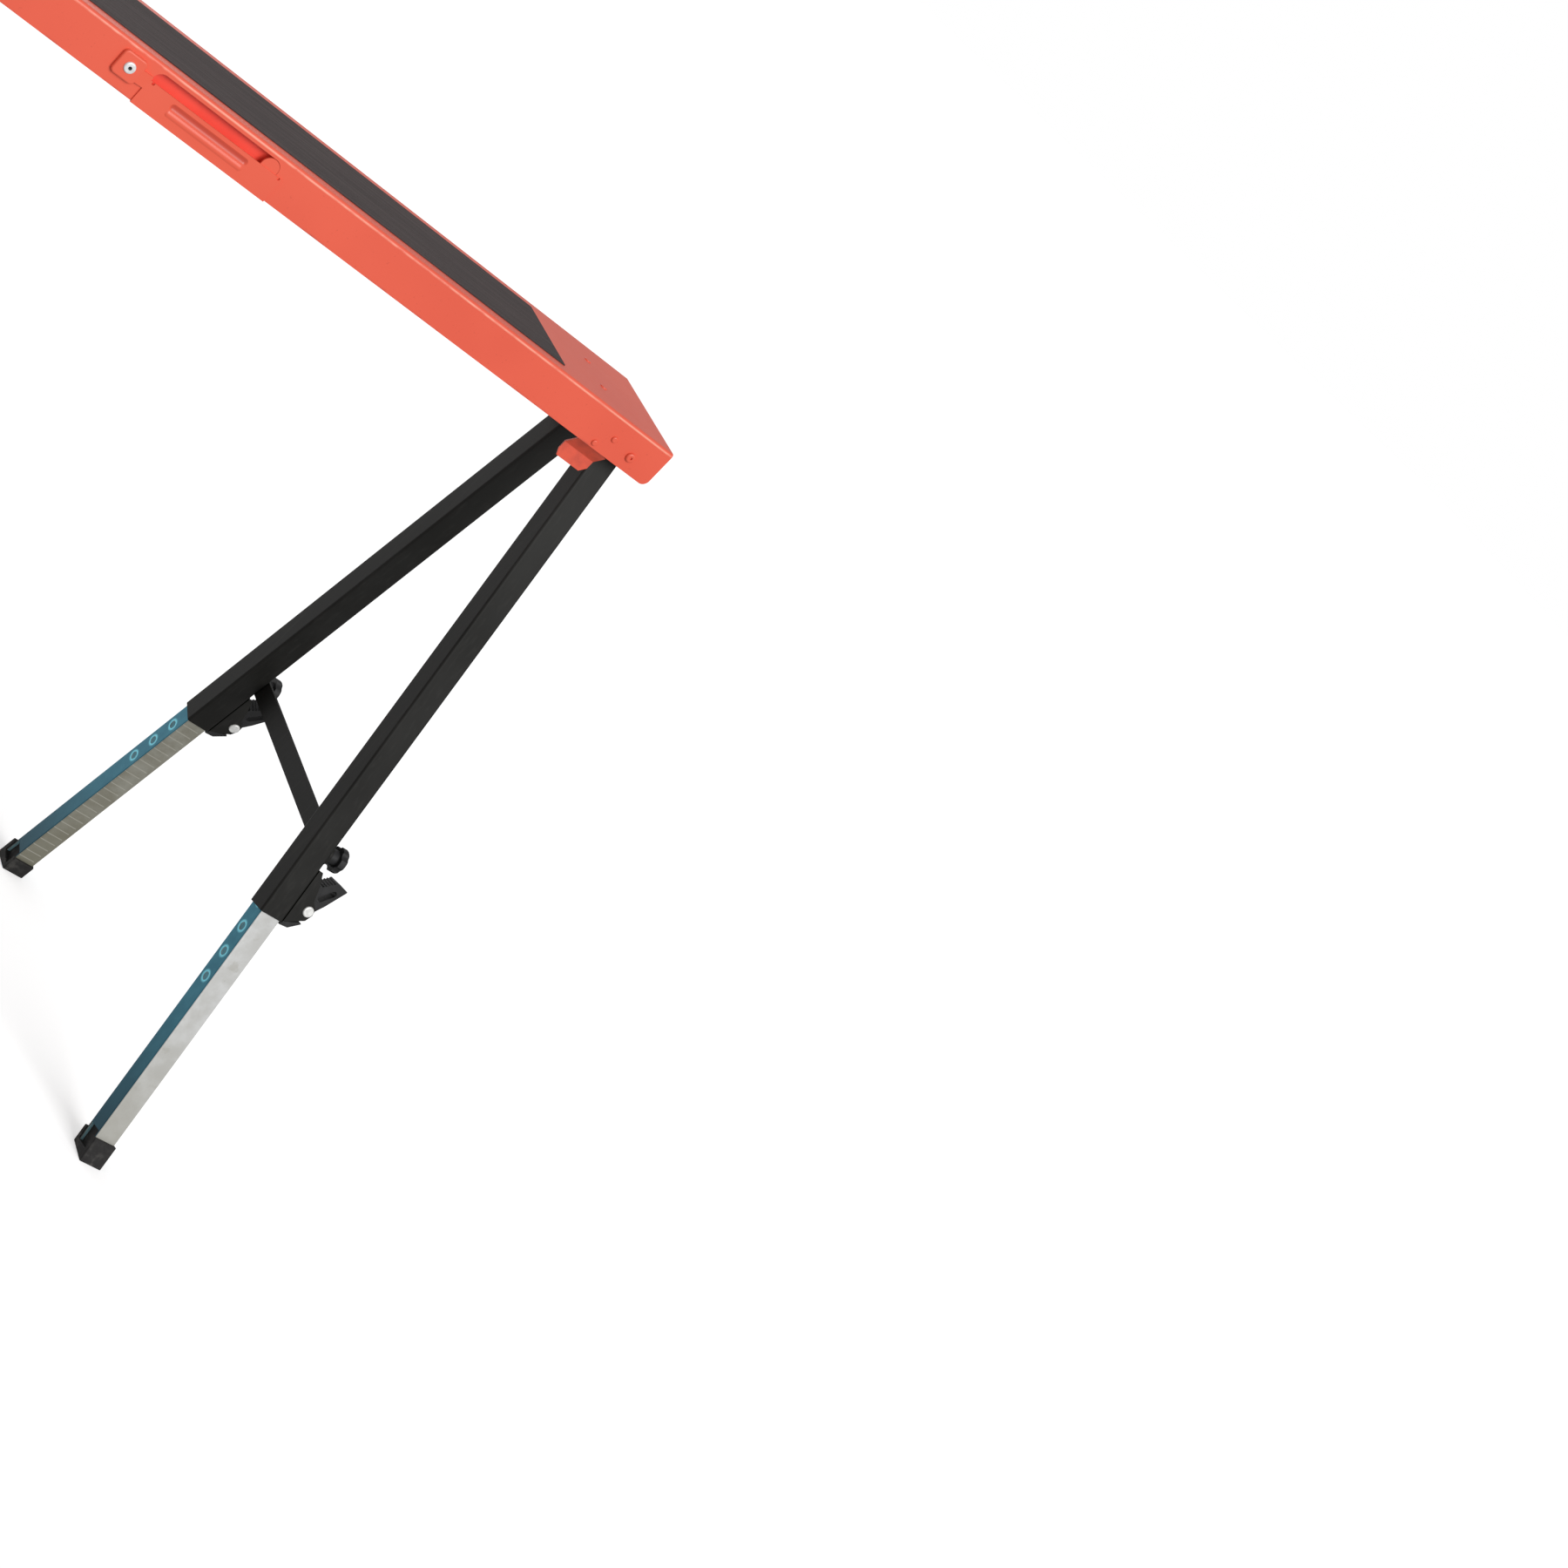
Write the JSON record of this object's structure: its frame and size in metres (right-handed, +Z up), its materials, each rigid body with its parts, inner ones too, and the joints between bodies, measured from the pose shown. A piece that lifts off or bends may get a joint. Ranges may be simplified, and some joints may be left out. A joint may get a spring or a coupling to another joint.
{
  "type": "folding sawhorse",
  "caption": "Folding sawhorse: a sheet-steel channel beam with a grip strip and carry handle, on clamped telescopic legs that splay when open and fold flat inside the beam.",
  "frame": {"origin": "on the floor, under the middle of the beam", "axes": "+Z up, +X along the beam towards the end farther from the handle's pad, +Y away from the handle's side"},
  "size_m": [1.2016, 0.458, 0.78],
  "materials": {
    "beam_red": "smooth red-orange powder coat",
    "strip_rubber": "matt, faintly textured",
    "leg_black": "satin black enamel",
    "galvanised": "zinc-plated, soft sheen",
    "rivet_steel": "bright pop-rivet steel",
    "bolt_steel": "blackened steel",
    "black_plastic": "moulded, fine grain",
    "boot_rubber": "matt moulded rubber"
  },
  "bodies": {
    "beam": {"beam_shell": "beam_red", "grip_strip": "strip_rubber", "carry_handle": "beam_red", "handle_rivet": "rivet_steel", "handle_guard": "beam_red", "hinge_pins": "beam_red", "saddle_rivets": "beam_red", "latch_pins": "rivet_steel", "hinge_saddle_right": "beam_red", "hinge_saddle_left": "beam_red"},
    "yoke_right": {"hinge_yoke_right": "leg_black", "splay_bolts_right": "bolt_steel"},
    "leg_right_front": {"leg_tube_right_front": "leg_black", "guide_collar_right_front": "black_plastic", "clamp_bracket_right_front": "leg_black", "clamp_rivet_right_front": "rivet_steel", "brace_stud_right_front": "bolt_steel"},
    "foot_right_front": {"inner_leg_right_front": "galvanised", "foot_boot_right_front": "boot_rubber"},
    "clamp_right_front": {"clamp_lever_right_front": "black_plastic"},
    "knob_right_front": {"brace_knob_right_front": "black_plastic"},
    "latch_right_front": {"latch_lever_right_front": "beam_red"},
    "leg_right_rear": {"leg_tube_right_rear": "leg_black", "guide_collar_right_rear": "black_plastic", "clamp_bracket_right_rear": "leg_black", "clamp_rivet_right_rear": "rivet_steel", "brace_stud_right_rear": "bolt_steel"},
    "foot_right_rear": {"inner_leg_right_rear": "galvanised", "foot_boot_right_rear": "boot_rubber"},
    "clamp_right_rear": {"clamp_lever_right_rear": "black_plastic"},
    "knob_right_rear": {"brace_knob_right_rear": "black_plastic"},
    "latch_right_rear": {"latch_lever_right_rear": "beam_red"},
    "brace_right": {"brace_bar_right": "leg_black"},
    "yoke_left": {"hinge_yoke_left": "leg_black", "splay_bolts_left": "bolt_steel"},
    "leg_left_front": {"leg_tube_left_front": "leg_black", "guide_collar_left_front": "black_plastic", "clamp_bracket_left_front": "leg_black", "clamp_rivet_left_front": "rivet_steel", "brace_stud_left_front": "bolt_steel"},
    "foot_left_front": {"inner_leg_left_front": "galvanised", "foot_boot_left_front": "boot_rubber"},
    "clamp_left_front": {"clamp_lever_left_front": "black_plastic"},
    "knob_left_front": {"brace_knob_left_front": "black_plastic"},
    "latch_left_front": {"latch_lever_left_front": "beam_red"},
    "leg_left_rear": {"leg_tube_left_rear": "leg_black", "guide_collar_left_rear": "black_plastic", "clamp_bracket_left_rear": "leg_black", "clamp_rivet_left_rear": "rivet_steel", "brace_stud_left_rear": "bolt_steel"},
    "foot_left_rear": {"inner_leg_left_rear": "galvanised", "foot_boot_left_rear": "boot_rubber"},
    "clamp_left_rear": {"clamp_lever_left_rear": "black_plastic"},
    "knob_left_rear": {"brace_knob_left_rear": "black_plastic"},
    "latch_left_rear": {"latch_lever_left_rear": "beam_red"},
    "brace_left": {"brace_bar_left": "leg_black"}
  },
  "joints": [
    {"name": "fold_right", "type": "hinge", "parent": "beam", "child": "yoke_right", "pos_m": [0.549, 0, 0.7544], "axis": [0, 1, 0], "range_deg": [0, 90]},
    {"name": "splay_right_front", "type": "hinge", "parent": "yoke_right", "child": "leg_right_front", "pos_m": [0.549, -0.0295, 0.7544], "axis": [1, 0, 0], "range_deg": [0, 13.76]},
    {"name": "height_right_front", "type": "slide", "parent": "leg_right_front", "child": "foot_right_front", "axis": [0, 0.2377, 0.9713], "range_m": [-0.025, 0.235]},
    {"name": "clamp_right_front", "type": "hinge", "parent": "leg_right_front", "child": "clamp_right_front", "pos_m": [0.5765, -0.14649, 0.27631], "axis": [0, 0.9713, -0.2377], "range_deg": [0, 70]},
    {"name": "knob_right_front", "type": "hinge", "parent": "leg_right_front", "child": "knob_right_front", "pos_m": [0.5683, -0.13456, 0.32507], "axis": [1, 0, 0], "range_deg": [0, 360]},
    {"name": "latch_right_front", "type": "hinge", "parent": "beam", "child": "latch_right_front", "pos_m": [0.5135, -0.0631, 0.752], "axis": [1, 0, 0], "range_deg": [0, 15], "stiffness_Nm_per_rad": 0.05, "springref_deg": -11.46},
    {"name": "splay_right_rear", "type": "hinge", "parent": "yoke_right", "child": "leg_right_rear", "pos_m": [0.549, 0.0295, 0.7544], "axis": [-1, 0, 0], "range_deg": [0, 13.76]},
    {"name": "height_right_rear", "type": "slide", "parent": "leg_right_rear", "child": "foot_right_rear", "axis": [0, -0.2377, 0.9713], "range_m": [-0.025, 0.235]},
    {"name": "clamp_right_rear", "type": "hinge", "parent": "leg_right_rear", "child": "clamp_right_rear", "pos_m": [0.5765, 0.14649, 0.27631], "axis": [0, 0.9713, 0.2377], "range_deg": [0, 70]},
    {"name": "knob_right_rear", "type": "hinge", "parent": "leg_right_rear", "child": "knob_right_rear", "pos_m": [0.5683, 0.13456, 0.32507], "axis": [1, 0, 0], "range_deg": [0, 360]},
    {"name": "latch_right_rear", "type": "hinge", "parent": "beam", "child": "latch_right_rear", "pos_m": [0.5135, 0.0631, 0.752], "axis": [-1, 0, 0], "range_deg": [0, 15], "stiffness_Nm_per_rad": 0.05, "springref_deg": -11.46},
    {"name": "brace_right", "type": "hinge", "parent": "leg_right_rear", "child": "brace_right", "pos_m": [0.5634, 0.13456, 0.32507], "axis": [-1, 0, 0], "range_deg": [0, 76.26]},
    {"name": "fold_left", "type": "hinge", "parent": "beam", "child": "yoke_left", "pos_m": [-0.549, 0, 0.7544], "axis": [0, -1, 0], "range_deg": [0, 90]},
    {"name": "splay_left_front", "type": "hinge", "parent": "yoke_left", "child": "leg_left_front", "pos_m": [-0.549, -0.0295, 0.7544], "axis": [1, 0, 0], "range_deg": [0, 13.76]},
    {"name": "height_left_front", "type": "slide", "parent": "leg_left_front", "child": "foot_left_front", "axis": [0, 0.2377, 0.9713], "range_m": [-0.025, 0.235]},
    {"name": "clamp_left_front", "type": "hinge", "parent": "leg_left_front", "child": "clamp_left_front", "pos_m": [-0.5765, -0.14649, 0.27631], "axis": [0, -0.9713, 0.2377], "range_deg": [0, 70]},
    {"name": "knob_left_front", "type": "hinge", "parent": "leg_left_front", "child": "knob_left_front", "pos_m": [-0.5683, -0.13456, 0.32507], "axis": [-1, 0, 0], "range_deg": [0, 360]},
    {"name": "latch_left_front", "type": "hinge", "parent": "beam", "child": "latch_left_front", "pos_m": [-0.5135, -0.0631, 0.752], "axis": [1, 0, 0], "range_deg": [0, 15], "stiffness_Nm_per_rad": 0.05, "springref_deg": -11.46},
    {"name": "splay_left_rear", "type": "hinge", "parent": "yoke_left", "child": "leg_left_rear", "pos_m": [-0.549, 0.0295, 0.7544], "axis": [-1, 0, 0], "range_deg": [0, 13.76]},
    {"name": "height_left_rear", "type": "slide", "parent": "leg_left_rear", "child": "foot_left_rear", "axis": [0, -0.2377, 0.9713], "range_m": [-0.025, 0.235]},
    {"name": "clamp_left_rear", "type": "hinge", "parent": "leg_left_rear", "child": "clamp_left_rear", "pos_m": [-0.5765, 0.14649, 0.27631], "axis": [0, -0.9713, -0.2377], "range_deg": [0, 70]},
    {"name": "knob_left_rear", "type": "hinge", "parent": "leg_left_rear", "child": "knob_left_rear", "pos_m": [-0.5683, 0.13456, 0.32507], "axis": [-1, 0, 0], "range_deg": [0, 360]},
    {"name": "latch_left_rear", "type": "hinge", "parent": "beam", "child": "latch_left_rear", "pos_m": [-0.5135, 0.0631, 0.752], "axis": [-1, 0, 0], "range_deg": [0, 15], "stiffness_Nm_per_rad": 0.05, "springref_deg": -11.46},
    {"name": "brace_left", "type": "hinge", "parent": "leg_left_rear", "child": "brace_left", "pos_m": [-0.5634, 0.13456, 0.32507], "axis": [-1, 0, 0], "range_deg": [0, 76.26]}
  ],
  "couplings": [
    {"joint": "splay_right_front", "follows": "fold_right", "ratio": 0.15278},
    {"joint": "splay_right_rear", "follows": "fold_right", "ratio": 0.15278},
    {"joint": "brace_right", "follows": "fold_right", "ratio": 0.84722},
    {"joint": "splay_left_front", "follows": "fold_left", "ratio": 0.15278},
    {"joint": "splay_left_rear", "follows": "fold_left", "ratio": 0.15278},
    {"joint": "brace_left", "follows": "fold_left", "ratio": 0.84722}
  ]
}
